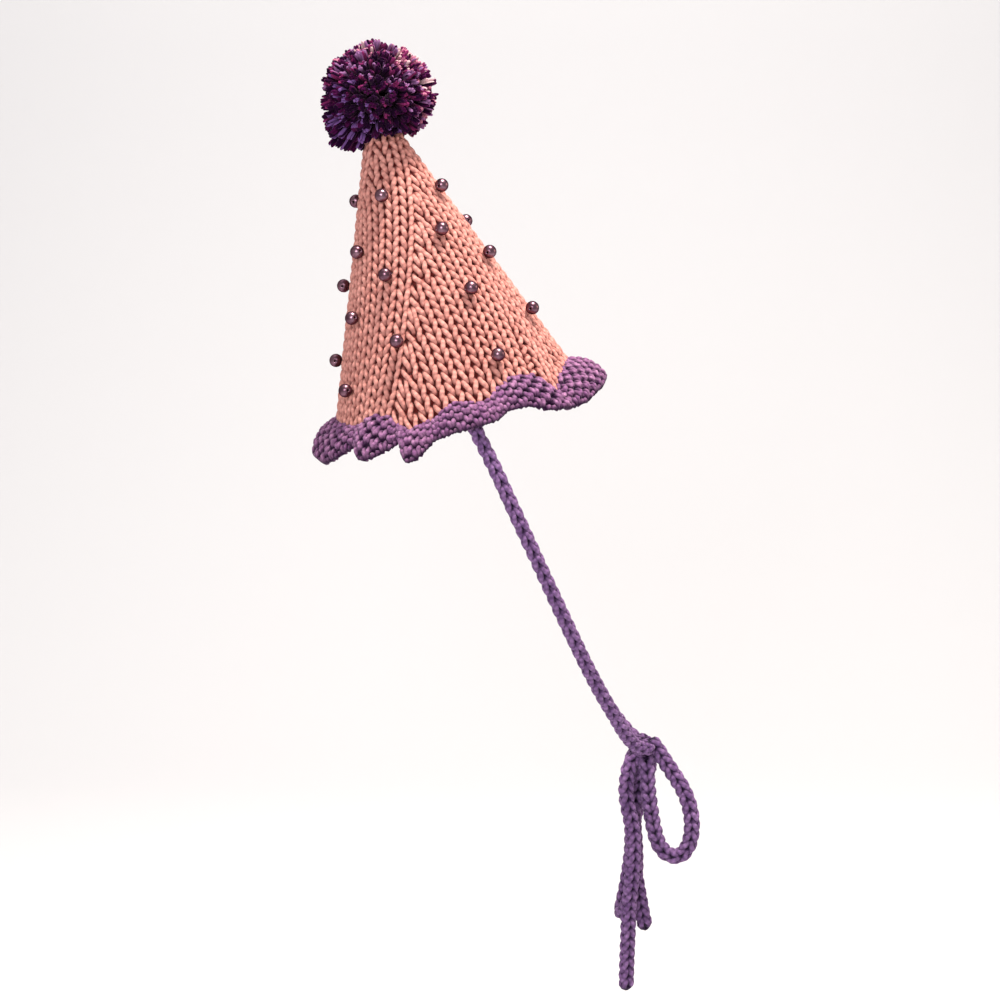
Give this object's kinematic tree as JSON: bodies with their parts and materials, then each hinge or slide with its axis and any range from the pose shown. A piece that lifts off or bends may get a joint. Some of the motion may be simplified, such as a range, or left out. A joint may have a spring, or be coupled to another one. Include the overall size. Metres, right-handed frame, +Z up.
{
  "type": "knit party hat",
  "caption": "Knitted cone party hat with a pompom, sewn-on beads, a ruffled edge and cord ties that meet in a bow under the chin.",
  "frame": {"origin": "centre of the circle where the crown meets the ruffle, which sits on top of the wearer's head", "axes": "+X is the way the wearer faces, +Y the wearer's left, +Z up; the cone leans 15.3 degrees backwards from +Z"},
  "size_m": [0.2192, 0.1641, 0.5336],
  "materials": {
    "crown_knit": "matte bulky yarn in stockinette, salmon pink",
    "ruffle_knit": "matte bulky yarn in garter bumps, heathered purple",
    "cord_knit": "knitted tube cord in the ruffle's yarn",
    "pompom_yarn": "cut yarn ends in plum, magenta, rose and lavender",
    "bead_pearl": "dark mauve metallic pearl"
  },
  "bodies": {
    "root": {"crown": "crown_knit", "ruffle": "ruffle_knit", "pompom": "pompom_yarn", "bead_01": "bead_pearl", "bead_02": "bead_pearl", "bead_03": "bead_pearl", "bead_04": "bead_pearl", "bead_05": "bead_pearl", "bead_06": "bead_pearl", "bead_07": "bead_pearl", "bead_08": "bead_pearl", "bead_09": "bead_pearl", "bead_10": "bead_pearl", "bead_11": "bead_pearl", "bead_12": "bead_pearl", "bead_13": "bead_pearl", "bead_14": "bead_pearl", "bead_15": "bead_pearl", "bead_16": "bead_pearl", "bead_17": "bead_pearl", "bead_18": "bead_pearl", "bead_19": "bead_pearl", "bead_20": "bead_pearl", "bead_21": "bead_pearl", "bead_22": "bead_pearl", "bead_23": "bead_pearl", "bead_24": "bead_pearl", "tie_right": "cord_knit", "tie_left": "cord_knit", "bow_knot": "cord_knit", "bow_loop_front": "cord_knit", "bow_loop_back": "cord_knit", "bow_tail_long": "cord_knit", "bow_tail_short": "cord_knit"}
  },
  "joints": []
}
